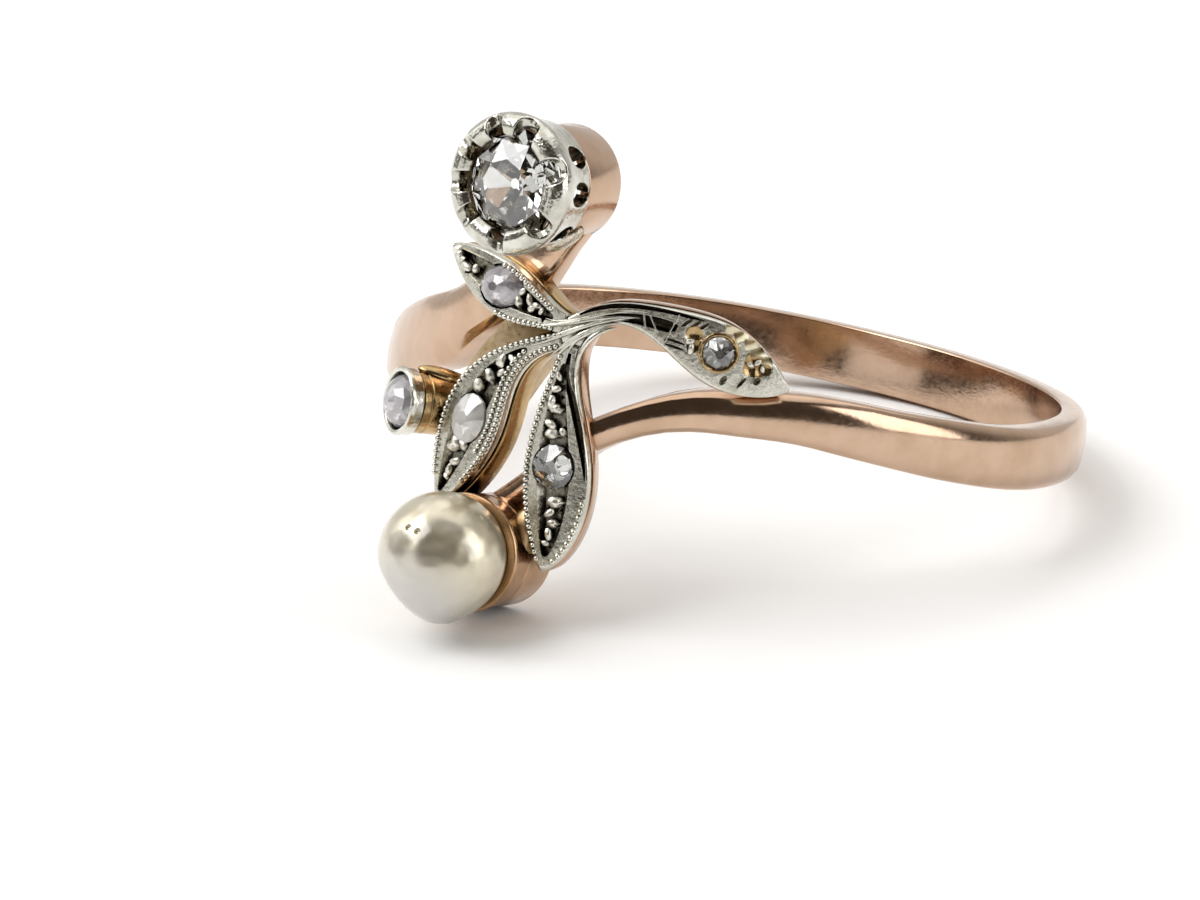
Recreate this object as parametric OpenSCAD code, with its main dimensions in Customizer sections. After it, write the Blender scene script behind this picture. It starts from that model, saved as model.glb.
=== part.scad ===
// A crossover ring: a rose gold band whose two ends sweep past each other, one up to a
// diamond in a claw crown and one down to a pearl in a cup, with four silver leaves between.
// Every module is drawn about the finger axis (Z), with the head of the ring towards -Y,
// and then laid on its side as the ring rests on a flat surface.

/* [Band] */
// Radius of the finger hole
finger_r = 8.6; // [8.4:0.1:8.8]
// How much thicker the whole band is than the thickness in its table
band_extra = 0; // [0:0.05:0.15]
// How far the outer face of the band is domed
band_dome = 0.12; // [0.05:0.01:0.2]

/* [Diamond setting] */
// Height of the diamond's centre above the plane of the band
top_rise = 5.66; // [5.5:0.02:5.8]
// Girdle radius of the main diamond
diamond_r = 1.36; // [1.3:0.01:1.4]
// Outer radius of the gold tube that carries the claw crown
tube_r = 1.5; // [1.45:0.01:1.55]
// Wall of that tube
tube_wall = 0.3; // [0.25:0.05:0.35]
// Outer radius of the claw crown at its rim
crown_r = 1.88; // [1.8:0.02:1.92]
// Number of claws round the main diamond
claw_count = 8; // [6:1:9]

/* [Pearl] */
// Radius of the pearl
pearl_r = 1.66; // [1.6:0.01:1.7]
// How far the pearl's centre lies below the plane of the band
pearl_drop = 4.2; // [4.1:0.02:4.3]
// Outer radius of the gold cup behind the pearl
cup_r = 1.48; // [1.42:0.02:1.54]
// Radius of the peg that the pearl is glued on
peg_r = 0.3; // [0.25:0.01:0.35]

/* [Side stone] */
// Outer radius of the side stone's bezel
side_r = 0.82; // [0.78:0.01:0.86]
// Girdle radius of the side stone
side_stone_r = 0.6; // [0.55:0.01:0.62]
// Length of the tube that carries the bezel
side_tube_l = 1.9; // [1.7:0.1:2.1]

/* [Leaves] */
// Thickness of the silver leaves
silver_t = 0.36; // [0.32:0.02:0.44]
// Depth of the hollow inside each leaf's rim
hollow_t = 0.18; // [0.12:0.01:0.2]
// Width of the rim round each leaf's hollow
rim_w = 0.24; // [0.2:0.01:0.28]
// How far the gold behind shows beyond a leaf's edge
gold_lip = 0.04; // [0:0.01:0.06]

/* [Fit] */
// Gap that stands for the solder or the seat between two pieces
seat_gap = 0.03; // [0.02:0.01:0.04]

/* [Rest] */
// Lean of the ring as it lies on its side, head end up
lean = 14.6; // [14:0.1:15.2]
// Sideways lean of the ring as it lies on its side
side_lean = 2.9; // [2.4:0.1:3.4]

/* [Hidden] */

$fn = 48;

rose_gold = [0.80, 0.58, 0.45];
old_silver = [0.72, 0.71, 0.66];
diamond_white = [0.86, 0.86, 0.90];
pearl_cream = [0.90, 0.87, 0.78];

// Where the finished ring is set down, so that its base is centred on the origin
rest_shift = [-0.04, 2.88, 3.083];

// The head's front is a cylinder, more sharply curved than the band, set forward of the finger
head_y = -3.75;
head_r = 7.25;
silver_back_r = head_r - silver_t;
gold_front_r = silver_back_r - seat_gap;

// The diamond's tube runs along Y from its open back to the crown's seat
diamond_x = -0.4;
tube_back_y = -10.1;
crown_back_y = -11.75;
girdle_rise = 1.05;

// The pearl's centre, and the cup's rim and back behind it
pearl_at = [-0.87, -12.6, -pearl_drop];
cup_rim_y = -11.5;
cup_back_y = -9.4;
cup_lip = 0.08;
peg_root_y = -10.2;
peg_l = 2.1;
hole_l = 1.6;

// The side stone looks out of the head to the left
side_at = [-4.0, -10.6, -0.93];
side_turn = -35;
bezel_h = 0.4;
bezel_sink = 0.32;

// Rows run round the band from its upper end at the diamond to its lower end at the pearl.
// Columns: angle from the head, height of the middle, width, inner radius, outer radius
ANGLE = 0;
MIDDLE = 1;
WIDTH = 2;
INNER = 3;
OUTER = 4;
BAND = [
    [5, 5.40, 0.6, 10.20, 10.65],
    [1, 4.70, 1.5, 10.00, 10.60],
    [-4, 3.65, 2.15, 9.55, 10.35],
    [-9, 2.95, 2.1, 9.15, 10.10],
    [-13, 2.40, 2.0, 8.90, 9.95],
    [-18, 1.85, 2.0, 8.70, 9.75],
    [-26, 0.95, 2.1, 8.50, 9.55],
    [-37, 0.38, 2.0, 8.45, 9.38],
    [-50, -0.25, 1.85, 8.45, 9.24],
    [-62, -0.70, 1.6, 8.45, 9.18],
    [-80, -0.60, 1.5, 8.45, 9.20],
    [-105, -0.20, 1.6, 8.45, 9.25],
    [-140, 0, 1.6, 8.45, 9.25],
    [-180, 0, 1.6, 8.45, 9.25],
    [-220, 0, 1.6, 8.45, 9.25],
    [-255, 0, 1.65, 8.45, 9.30],
    [-275, 0, 1.65, 8.45, 9.32],
    [-292, 0.19, 1.6, 8.45, 9.31],
    [-304, 0.38, 1.5, 8.45, 9.30],
    [-312, 0.52, 1.45, 8.45, 9.33],
    [-321, 0.62, 1.32, 8.45, 9.38],
    [-330, 0.54, 1.2, 8.48, 9.45],
    [-338, 0.40, 1.1, 8.60, 9.55],
    [-345, 0.02, 1.0, 8.75, 9.65],
    [-352, -0.65, 1.0, 8.90, 10.10],
    [-357, -1.50, 1.2, 9.00, 10.20],
    [-361, -2.45, 1.3, 9.10, 10.20],
    [-366, -3.40, 1.5, 9.20, 10.25]
];
// The widest angle between two sections of the swept band
section_step = 3.5;
// Where across the band its outer face takes its points, as parts of the half width
DOME_AT = [-1, -0.93, -0.8, -0.5, 0, 0.5, 0.8, 0.93, 1];

// Leaf columns: stem point, first pull, second pull, tip, half width at the neck and at the
// belly, where the belly lies, how late the leaf swells, thickness of the gold behind
STEM = 0;
PULL_A = 1;
PULL_B = 2;
TIP = 3;
NECK = 4;
BELLY = 5;
FULL_AT = 6;
LATE = 7;
BACKING = 8;
LEAVES = [
    [[0.6, 2.12], [-0.5, 2.35], [-2.2, 2.75], [-3.55, 3.3], 0.28, 0.70, 0.52, 1, 0.60],
    [[0.65, 1.75], [-1.6, 0.95], [-1.65, -0.7], [-2.5, -3.25], 0.24, 0.95, 0.67, 1.2, 0.65],
    [[0.9, 1.75], [0.5, -0.2], [1.5, -2.4], [1.1, -4.25], 0.26, 0.92, 0.60, 1, 0.55],
    [[0.7, 2.05], [2.2, 3.45], [3.7, 2.45], [5.87, 1.42], 0.26, 0.82, 0.78, 2, 0.40]
];
LEAF_STEPS = 22;

// The knot where the stems meet
knot_at = [0.8, 1.95];
knot_r = 0.5;

// Corners of the web between the band and the second leaf, in the front view
WEB = [[0.4, 1.9], [-1.6, 1.9], [-2.6, 0.6], [-3.3, -0.6], [-3.4, -1.6], [-3.2, -2.9], [-1.9, -1.8]];
web_sink = 0.45;
web_t = 0.7;

// Leaf stone columns: place in the front view, half length, half width, turn
PLACE = 0;
HALF_LONG = 1;
HALF_WIDE = 2;
STONE_TURN = 3;
STONES = [
    [[-1.45, 2.67], 0.60, 0.52, 10],
    [[-1.83, -0.89], 0.68, 0.56, 70],
    [[0.98, -1.53], 0.58, 0.56, 90],
    [[4.40, 2.18], 0.42, 0.42, 0]
];

// Row of a table part of the way from row b to row c, on a curve through all rows
function along(a, b, c, d, t) = 0.5 * (2 * b + (c - a) * t
    + (2 * a - 5 * b + 4 * c - d) * t * t + (3 * b - a - 3 * c + d) * t * t * t);
function row(table, i) = table[max(0, min(len(table) - 1, i))];
function swept_rows(table) = [for (i = [0 : len(table) - 2])
    let (n = ceil(abs(table[i][ANGLE] - table[i + 1][ANGLE]) / section_step)) for (k = [0 : n - 1])
    along(row(table, i - 1), row(table, i), row(table, i + 1), row(table, i + 2), k / n),
    row(table, len(table) - 1)];

// One section of the band: flat towards the finger, domed outside with rounded edges
function band_section(r) = let (half = r[WIDTH] / 2, out = r[OUTER] + band_extra,
    edge = min(0.25, half * 0.4))
    [for (p = concat([[r[INNER], -half]],
        [for (u = DOME_AT) [out + band_dome * (1 - u * u) - edge * pow(abs(u), 8), u * half]],
        [[r[INNER], half]]))
        [p[0] * sin(r[ANGLE]), -p[0] * cos(r[ANGLE]), r[MIDDLE] + p[1]]];

// A closed skin over a run of sections that have the same number of points
module skin(sections) {
    n = len(sections[0]);
    m = len(sections);
    sides = [for (i = [0 : m - 2]) for (k = [0 : n - 1]) for (half = [0, 1])
        half == 0 ? [i * n + k, (i + 1) * n + k, i * n + (k + 1) % n]
            : [i * n + (k + 1) % n, (i + 1) * n + k, (i + 1) * n + (k + 1) % n]];
    first = [[for (k = [0 : n - 1]) k]];
    last = [[for (k = [n - 1 : -1 : 0]) (m - 1) * n + k]];
    polyhedron([for (s = sections) each s], concat(sides, first, last));
}

// The middle line of a leaf in the front view, its heading and its half width
function pull(p, t) = pow(1 - t, 3) * p[STEM] + 3 * t * pow(1 - t, 2) * p[PULL_A]
    + 3 * t * t * (1 - t) * p[PULL_B] + pow(t, 3) * p[TIP];
function heading(p, t) = let (d = pull(p, t + 0.01) - pull(p, t - 0.01)) d / norm(d);
function leaf_half(p, t) = t < p[FULL_AT]
    ? p[NECK] + (p[BELLY] - p[NECK]) * (0.5 - 0.5 * cos(180 * pow(t / p[FULL_AT], p[LATE])))
    : p[BELLY] * pow(cos(90 * (t - p[FULL_AT]) / (1 - p[FULL_AT])), 0.65);

// A front view place carried to the head's curve at radius r
function on_curve(q, r) = [r * q[0] / head_r, head_y - r * sqrt(1 - pow(q[0] / head_r, 2)), q[1]];

// One section across a leaf: w is its half width, and its floor lies deep below its rims
function leaf_section(p, t, w, front, back, deep) = let (h = heading(p, t), across = [h[1], -h[0]],
    at = pull(p, t), inner = w - rim_w, floor_w = inner - 0.05, floor_r = front - deep * min(1, inner / 0.25),
    rims = deep > 0 && floor_w > 0.02)
    [for (q = concat([[-w, back], [-w, front]],
        rims ? [[-inner, front], [-floor_w, floor_r], [floor_w, floor_r], [inner, front]]
            : deep > 0 ? [for (c = [-0.6, -0.2, 0.2, 0.6]) [c * w, front]] : [],
        [[w, front], [w, back]])) on_curve(at + q[0] * across, q[1])];

// A leaf bowed on the head's curve, widened by grow
module leaf_plate(p, grow, front, back, deep = 0) {
    skin([for (i = [0 : LEAF_STEPS]) let (t = i / LEAF_STEPS)
        leaf_section(p, t, max(0.05, leaf_half(p, t)) + grow, front, back, deep)]);
}

// Turns a piece drawn up the Z axis to point out of the head, at x, y and z
module facing(at, turn = 0) {
    translate(at) rotate([0, 0, turn]) rotate([90, 0, 0]) children();
}

// Turns a piece drawn up the Z axis to stand on the head's curved front at radius r
module on_head(at, r) {
    turn = asin(at[0] / head_r);
    facing([r * sin(turn), head_y - r * cos(turn), at[1]], turn) children();
}

// The round column whose skin is the head's front, at a given radius
module head_column(r) {
    translate([0, head_y, -8]) cylinder(r = r, h = 16, $fn = 96);
}

// A flat front view shape cut from a curved wall of the head
module curved_plate(front, depth) {
    intersection() {
        difference() {
            head_column(front);
            head_column(front - depth);
        }
        rotate([90, 0, 0]) translate([0, 0, 6]) linear_extrude(height = 8) children();
    }
}

// The knot where the stems meet: a disc on the head's curve
module knot(front, back) {
    on_head(knot_at, back) cylinder(r = knot_r, h = front - back);
}

// Sets a piece down as the ring rests
module laid() {
    translate(rest_shift) rotate([-lean, side_lean, 0]) children();
}

// A cut stone: an eight-sided table, two rows of crown facets, a girdle and a pavilion.
// Ring columns: radius, height, number of corners, turn
module gem(half_long, half_wide, table, crown, girdle, pavilion, culet) {
    star_r = 0.72;
    star_z = girdle + crown * (1 - star_r) / (1 - table);
    deep_r = (1 + culet) / 2;
    rings = [[table, girdle + crown, 8, 0], [star_r / cos(22.5), star_z, 8, 22.5],
        [1, girdle, 16, 0], [1, 0, 16, 0], [deep_r / cos(22.5), -pavilion / 2, 8, 22.5],
        [culet, -pavilion, 8, 0]];
    points = [for (q = rings) for (k = [0 : q[2] - 1])
        let (a = q[3] + k * 360 / q[2]) [half_long * q[0] * cos(a), half_wide * q[0] * sin(a), q[1]]];
    top = 0;
    star = 8;
    high = 16;
    low = 32;
    deep = 48;
    foot = 56;
    faces = [for (k = [0 : 7]) let (n = (k + 1) % 8, b = (k + 7) % 8, g = 2 * k, h = 2 * k + 1,
        j = (2 * k + 2) % 16) each [
            [top + k, top + n, star + k],
            [top + k, high + g, star + b],
            [top + k, star + k, high + g],
            [star + k, high + h, high + g],
            [star + k, high + j, high + h],
            [high + h, low + g, high + g],
            [high + h, low + h, low + g],
            [high + j, low + h, high + h],
            [high + j, low + j, low + h],
            [deep + k, low + g, low + h],
            [deep + k, low + h, low + j],
            [foot + k, deep + b, low + g],
            [foot + k, low + g, deep + k],
            [foot + n, foot + k, deep + k]
        ]];
    polyhedron(points, concat(faces, [[for (k = [7 : -1 : 0]) top + k]], [[for (k = [0 : 7]) foot + k]]));
}

// The swept band, with its shoulders rising off the finger to the two main settings
module band() {
    skin([for (r = swept_rows(BAND)) band_section(r)]);
}

// The gold under the leaves and the web that ties the second leaf to the band
module gallery() {
    for (p = LEAVES) leaf_plate(p, gold_lip, gold_front_r, gold_front_r - p[BACKING]);
    knot(gold_front_r - 0.04, gold_front_r - 0.64);
    curved_plate(gold_front_r - web_sink, web_t) polygon(WEB);
}

// The tube under the diamond, open right through
module diamond_tube() {
    facing([diamond_x, tube_back_y, top_rise])
        cylinder(r = tube_r, h = tube_back_y - crown_back_y - seat_gap);
}

// The cup behind the pearl and the tube of the side stone, cut back where the silver lies over them
module lower_collets() {
    difference() {
        union() {
            facing([pearl_at[0], cup_back_y, pearl_at[2]]) {
                cylinder(r = cup_r, h = cup_back_y - cup_rim_y);
                translate([0, 0, cup_back_y - cup_rim_y - 0.2]) cylinder(r = cup_r + cup_lip, h = 0.2);
            }
            facing(side_at, side_turn) translate([0, 0, -side_tube_l])
                cylinder(r = side_r - 0.08, h = side_tube_l - bezel_sink - seat_gap);
        }
        for (p = [LEAVES[1], LEAVES[2]]) leaf_plate(p, seat_gap, head_r + 2, gold_front_r - 0.02);
        translate(pearl_at) sphere(r = pearl_r + seat_gap, $fn = 64);
    }
}

module shank() {
    color(rose_gold) laid() {
        difference() {
            union() {
                difference() {
                    band();
                    translate([0, 0, -10]) cylinder(r = finger_r, h = 20, $fn = 96);
                }
                diamond_tube();
            }
            facing([diamond_x, tube_back_y + 1.1, top_rise]) cylinder(r = tube_r - tube_wall, h = 5);
        }
        gallery();
        lower_collets();
        facing([pearl_at[0], peg_root_y, pearl_at[2]]) cylinder(r = peg_r, h = peg_l, $fn = 24);
    }
}

module leaf_spray() {
    color(old_silver) laid() difference() {
        union() {
            for (p = LEAVES) leaf_plate(p, 0, head_r, silver_back_r, hollow_t);
            knot(head_r, silver_back_r);
        }
        for (s = STONES) on_head(s[PLACE], head_r - hollow_t) stone_seat(s);
    }
}

// The cut that lets a leaf's stone down to the floor of its hollow
module stone_seat(s) {
    rotate([0, 0, s[STONE_TURN]]) linear_extrude(height = 1)
        polygon([for (a = [0 : 15 : 345])
            [(s[HALF_LONG] + seat_gap) * cos(a), (s[HALF_WIDE] + seat_gap) * sin(a)]]);
}

// A flared ring, scalloped between its claws at the rim and pierced below, with a bead on
// each claw that bends in over the stone
module claw_crown() {
    bore_r = diamond_r + seat_gap;
    color(old_silver) laid() facing([diamond_x, crown_back_y, top_rise]) {
        difference() {
            rotate_extrude($fn = 64) polygon([[1.2, 0], [1.55, 0], [crown_r, 0.8], [crown_r - 0.02, 1.15],
                [crown_r - 0.26, 1.4], [bore_r, 1.4], [bore_r, 0.9], [1.2, 0.4]]);
            for (k = [0 : claw_count - 1]) rotate([0, 0, (k + 0.5) * 360 / claw_count]) {
                translate([1, 0, 1.5]) rotate([0, 90, 0]) cylinder(r = 0.4, h = 1.5, $fn = 24);
                translate([1, 0, 0.4]) rotate([0, 90, 0]) cylinder(r = 0.28, h = 1.5, $fn = 24);
            }
        }
        for (k = [0 : claw_count - 1]) rotate([0, 0, k * 360 / claw_count])
            translate([diamond_r + 0.06, 0, 1.4]) sphere(r = 0.24, $fn = 24);
    }
}

module side_bezel() {
    color(old_silver) laid() facing(side_at, side_turn) translate([0, 0, -bezel_sink]) difference() {
        cylinder(r = side_r, h = bezel_h);
        translate([0, 0, 0.1]) cylinder(r = side_stone_r + seat_gap, h = bezel_h);
    }
}

module main_diamond() {
    color(diamond_white) laid() facing([diamond_x, crown_back_y - girdle_rise, top_rise])
        gem(diamond_r, diamond_r, 0.5, 0.42, 0.06, 0.95, 0.12);
}

// A rose-cut stone: a low dome of facets on a nearly flat back
module leaf_diamond(s) {
    color(diamond_white) laid() on_head(s[PLACE], head_r - hollow_t + seat_gap)
        rotate([0, 0, s[STONE_TURN]]) translate([0, 0, 0.1])
        gem(s[HALF_LONG], s[HALF_WIDE], 0.3, 0.24, 0.06, 0.1, 0.8);
}

module side_diamond() {
    color(diamond_white) laid() facing(side_at, side_turn) translate([0, 0, -0.08])
        gem(side_stone_r, side_stone_r, 0.3, 0.36, 0.08, 0.1, 0.8);
}

// A pearl with a blunt point below, drilled from behind for its peg
module pearl() {
    color(pearl_cream) laid() translate(pearl_at) difference() {
        hull() {
            sphere(r = pearl_r, $fn = 32);
            translate([0.2, 0, 0.28 - pearl_r]) sphere(r = 0.4, $fn = 16);
        }
        translate([0, pearl_r + 0.1, 0]) rotate([90, 0, 0])
            cylinder(r = peg_r + seat_gap, h = hole_l, $fn = 24);
    }
}

shank();
leaf_spray();
claw_crown();
side_bezel();
main_diamond();
pearl();
leaf_diamond(STONES[0]);  // leaf_diamond_1
leaf_diamond(STONES[1]);  // leaf_diamond_2
leaf_diamond(STONES[2]);  // leaf_diamond_3
leaf_diamond(STONES[3]);  // leaf_diamond_4
side_diamond();
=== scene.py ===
from math import asin, atan2, cos, hypot, pi, radians, sin

import bmesh
import bpy
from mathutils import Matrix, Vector


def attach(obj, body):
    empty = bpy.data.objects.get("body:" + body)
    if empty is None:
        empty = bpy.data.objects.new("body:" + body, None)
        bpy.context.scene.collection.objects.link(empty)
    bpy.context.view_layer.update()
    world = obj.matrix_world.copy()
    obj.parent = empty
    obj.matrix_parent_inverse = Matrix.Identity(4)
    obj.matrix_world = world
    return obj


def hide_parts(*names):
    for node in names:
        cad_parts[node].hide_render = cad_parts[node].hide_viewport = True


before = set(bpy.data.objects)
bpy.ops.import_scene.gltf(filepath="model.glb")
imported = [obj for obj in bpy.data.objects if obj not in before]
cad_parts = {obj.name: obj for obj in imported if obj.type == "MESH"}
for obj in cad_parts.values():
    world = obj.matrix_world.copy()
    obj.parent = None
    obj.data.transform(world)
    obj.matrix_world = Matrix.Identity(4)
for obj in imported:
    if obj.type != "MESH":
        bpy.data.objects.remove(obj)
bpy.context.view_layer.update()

# The band: a strip of rose gold whose two ends sweep past each other, one up to the diamond
# and one down to the pearl. It is drawn out straight, domed outside, and bent round a mandrel.
# All is drawn in mm round an upright finger axis, with the head towards -Y, and then laid down.
# Columns: angle from the head, height of the middle, width, inner radius, outer radius
BAND = [
    (5, 5.40, 0.6, 10.20, 10.65), (1, 4.70, 1.5, 10.00, 10.60), (-4, 3.65, 2.15, 9.55, 10.35),
    (-9, 2.95, 2.1, 9.15, 10.10), (-13, 2.40, 2.0, 8.90, 9.95), (-18, 1.85, 2.0, 8.70, 9.75),
    (-26, 0.95, 2.1, 8.60, 9.55), (-37, 0.38, 2.0, 8.60, 9.38), (-50, -0.25, 1.85, 8.60, 9.24),
    (-62, -0.70, 1.6, 8.60, 9.18), (-80, -0.60, 1.5, 8.60, 9.20), (-105, -0.20, 1.6, 8.60, 9.25),
    (-140, 0, 1.6, 8.60, 9.25), (-180, 0, 1.6, 8.60, 9.25), (-220, 0, 1.6, 8.60, 9.25),
    (-255, 0, 1.65, 8.60, 9.30), (-275, 0, 1.65, 8.60, 9.32), (-292, 0.19, 1.6, 8.60, 9.31),
    (-304, 0.38, 1.5, 8.60, 9.30), (-312, 0.52, 1.45, 8.60, 9.33), (-321, 0.62, 1.32, 8.60, 9.38),
    (-330, 0.54, 1.2, 8.60, 9.45), (-338, 0.40, 1.1, 8.62, 9.55), (-345, 0.02, 1.0, 8.75, 9.65),
    (-352, -0.65, 1.0, 8.90, 10.10), (-357, -1.50, 1.2, 9.00, 10.20),
    (-361, -2.45, 1.3, 9.10, 10.20), (-366, -3.40, 1.5, 9.20, 10.25),
]
BAND_R, BAND_STEP = 9.0, 3.0  # radius of the bend, degrees between sections
BAND_THICK, BAND_WIDE = 0.8, 1.6
ROUND_OUTSIDE, ROUND_INSIDE = 0.22, 0.06
DOME = ((0.6, 0.05), (0.35, 0.05), (0.05, 0.02))  # reach to each side of the middle, rise
HAIR = 0.001  # points this near a face count as on it
RING_AT, RING_LEAN, MM = (-0.00004, 0.00288, 0.003083), (-14.6, 2.9, 0), 0.001


def select(*pieces):
    bpy.ops.object.select_all(action="DESELECT")
    for piece in pieces:
        piece.select_set(True)
    bpy.context.view_layer.objects.active = pieces[0]


def new_piece(name):
    """Names what was just added, and bakes its place into its mesh."""
    piece = bpy.context.object
    piece.name = piece.data.name = name
    bpy.ops.object.transform_apply(location=True, rotation=True, scale=True)
    return piece


def settle(piece, at=(0, 0, 0), turn=(0, 0, 0), size=(1, 1, 1)):
    """Sizes a piece, turns it by degrees and moves it, and bakes that into its mesh."""
    select(piece)
    piece.scale, piece.rotation_euler, piece.location = size, [radians(part) for part in turn], at
    bpy.ops.object.transform_apply(location=True, rotation=True, scale=True)


def edit(piece):
    select(piece)
    bpy.ops.object.mode_set(mode="EDIT")
    bpy.ops.mesh.select_mode(type="VERT")


def edit_all(piece):
    edit(piece)
    bpy.ops.mesh.select_all(action="SELECT")


def finish_edit():
    bpy.ops.object.mode_set(mode="OBJECT")


def pick(test, kind="VERT"):
    """In edit mode, selects the vertices or faces whose place passes the test."""
    bpy.ops.mesh.select_mode(type=kind)
    bpy.ops.mesh.select_all(action="DESELECT")
    drawn = bmesh.from_edit_mesh(bpy.context.object.data)
    if kind == "VERT":
        for vert in drawn.verts:
            vert.select = test(vert.co)
    else:
        for face in drawn.faces:
            face.select = test(face.calc_center_median(), face.normal)
    drawn.select_flush(True)
    bmesh.update_edit_mesh(bpy.context.object.data)


def move(x, y, z):
    bpy.ops.transform.translate(value=(x, y, z))


def scale(x, y, z, centre=(0, 0, 0)):
    bpy.ops.transform.resize(value=(x, y, z), center_override=centre)


def extrude(x=0, y=0, z=0):
    bpy.ops.mesh.extrude_region_move(TRANSFORM_OT_translate={"value": (x, y, z)})


def face_outwards(piece):
    edit_all(piece)
    bpy.ops.mesh.normals_make_consistent(inside=False)
    finish_edit()


def tool(piece, kind, **settings):
    """Adds one modifier with these settings and applies it."""
    select(piece)
    modifier = piece.modifiers.new(kind.lower(), kind)
    for key, value in settings.items():
        setattr(modifier, key, value)
    bpy.ops.object.modifier_apply(modifier=modifier.name)


def bend_round(piece, radius, centre_y):
    """Bends a piece drawn flat in X and Z round an upright axis; Y is depth behind the radius."""
    along = [vert.co.x for vert in piece.data.vertices]
    tool(piece, "SIMPLE_DEFORM", deform_method="BEND", deform_axis="Z",
         angle=(max(along) - min(along)) / radius)
    settle(piece, (0, centre_y - radius, 0))


def set_down(piece, slot, material, *nodes, sharp=35):
    """Lays a finished piece down as the ring rests, and gives it its finish."""
    settle(piece, RING_AT, RING_LEAN, (MM, MM, MM))
    bpy.ops.object.shade_smooth_by_angle(angle=radians(sharp))
    if material is not None:
        piece.data.materials.clear()
        piece.data.materials.append(material)
    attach(piece, "root")
    if nodes:
        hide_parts(*nodes)


def fill(tree, made, inputs):
    """Sets a node's inputs, or links them where they come from another node."""
    for key, value in inputs.items():
        if isinstance(value, bpy.types.NodeSocket):
            tree.links.new(value, made.inputs[key])
        else:
            made.inputs[key].default_value = value


def node(tree, kind, output, inputs=None, **settings):
    """Adds a node with these inputs and settings, and returns one of its outputs."""
    made = tree.nodes.new("ShaderNode" + kind)
    for key, value in settings.items():
        setattr(made, key, value)
    fill(tree, made, inputs or {})
    return made.outputs[output]


def noise(tree, place, size, detail, rough=0.5):
    return node(tree, "TexNoise", "Fac",
                {"Vector": place, "Scale": size, "Detail": detail, "Roughness": rough})


def spread(tree, value, low, high, least, most):
    """Spreads the part of a value between low and high over another range."""
    return node(tree, "MapRange", "Result", {"Value": value, "From Min": low, "From Max": high,
                                             "To Min": least, "To Max": most})


def ramp(tree, value, low, dark, high, light):
    """Runs from one colour, where the value is low, to another, where it is high."""
    made = tree.nodes.new("ShaderNodeValToRGB")
    fill(tree, made, {"Fac": value})
    for end, place, colour in ((0, low, dark), (1, high, light)):
        made.color_ramp.elements[end].position = place
        made.color_ramp.elements[end].color = (*colour, 1)
    return made.outputs["Color"]


def new_finish(name):
    """A new material, its nodes, its shader, and the place that its patterns follow."""
    material = bpy.data.materials.new(name)
    material.use_nodes = True
    tree = material.node_tree
    return material, tree, tree.nodes["Principled BSDF"], node(tree, "TexCoord", "Object")


def worn_metal(name, bright, dull, tarnish_and_shade, rough, crevice, grain, scratch=0.25, patch=900,
               speckle=0.0, dents=0.00001, tarnish_and_shade_reach=(0.25, 0.75)):
    """Worn polished metal: two tones in soft patches, tarnish and painted shade in its hollows,
    where ambient occlusion darkens the tone, fine scratches and pits. Grain and patch are the
    patterns' scales, crevice and dents depths in metres, and the last argument is how open a
    hollow is where the tarnish and painted shade are full and where they end."""
    material, tree, shader, place = new_finish(name)
    tone = ramp(tree, noise(tree, place, patch, 3, 0.55), 0.32, dull, 0.62, bright)
    # Ambient occlusion darkens the hollows to the dark colour: real tarnish, and painted shade as
    # well.
    hollow = node(tree, "AmbientOcclusion", "AO", {"Distance": crevice}, samples=8,
                  only_local=False)
    free_of_tarnish_and_shade = ramp(tree, hollow, tarnish_and_shade_reach[0], (0, 0, 0), tarnish_and_shade_reach[1], (1, 1, 1))
    tarnished_and_shaded = node(tree, "MixRGB", "Color", {"Fac": free_of_tarnish_and_shade, "Color1": (*tarnish_and_shade, 1), "Color2": tone})
    dots = spread(tree, noise(tree, place, 19000, 2, 0.6), 0.42, 0.72, 0.0, speckle)
    dotted = node(tree, "MixRGB", "Color", {"Fac": dots, "Color1": tarnished_and_shaded, "Color2": (*tarnish_and_shade, 1)})
    polish = spread(tree, noise(tree, place, 7000, 4, 0.6), 0.3, 0.7, rough * 0.75, rough * 1.35)
    drawn_out = node(tree, "Mapping", "Vector", {"Vector": place, "Scale": (2500, 14000, 14000),
                                                 "Rotation": (0.3, 0.5, 0.9)})
    edges = node(tree, "Bevel", "Normal", {"Radius": 0.00003}, samples=4)
    scratched = node(tree, "Bump", "Normal", {
        "Height": noise(tree, drawn_out, 1, 2), "Strength": scratch, "Distance": 0.000004,
        "Normal": edges})
    pitted = node(tree, "Bump", "Normal", {
        "Height": noise(tree, place, grain, 3, 0.7), "Strength": 0.6, "Distance": dents,
        "Normal": scratched})
    fill(tree, shader, {"Base Color": dotted, "Roughness": polish, "Normal": pitted, "Metallic": 1})
    return material


def row_between(a, b, c, d, t):
    """A row part of the way from row b to row c, on a smooth curve through its neighbours."""
    return [0.5 * (2 * q + (r - p) * t + (2 * p - 5 * q + 4 * r - s) * t * t
                   + (3 * q - p - 3 * r + s) * t ** 3) for p, q, r, s in zip(a, b, c, d)]


rose_gold = worn_metal("rose_gold", (0.59, 0.415, 0.30), (0.51, 0.35, 0.24), (0.26, 0.12, 0.045),
                       0.15, 0.0005, 1800, dents=0.000006)
sections = []
for i in range(len(BAND) - 1):
    rows = [BAND[min(max(i + k, 0), len(BAND) - 1)] for k in (-1, 0, 1, 2)]
    steps = max(1, round((BAND[i][0] - BAND[i + 1][0]) / BAND_STEP))
    sections += [row_between(*rows, k / steps) for k in range(steps)]
sections.append(BAND[-1])

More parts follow.
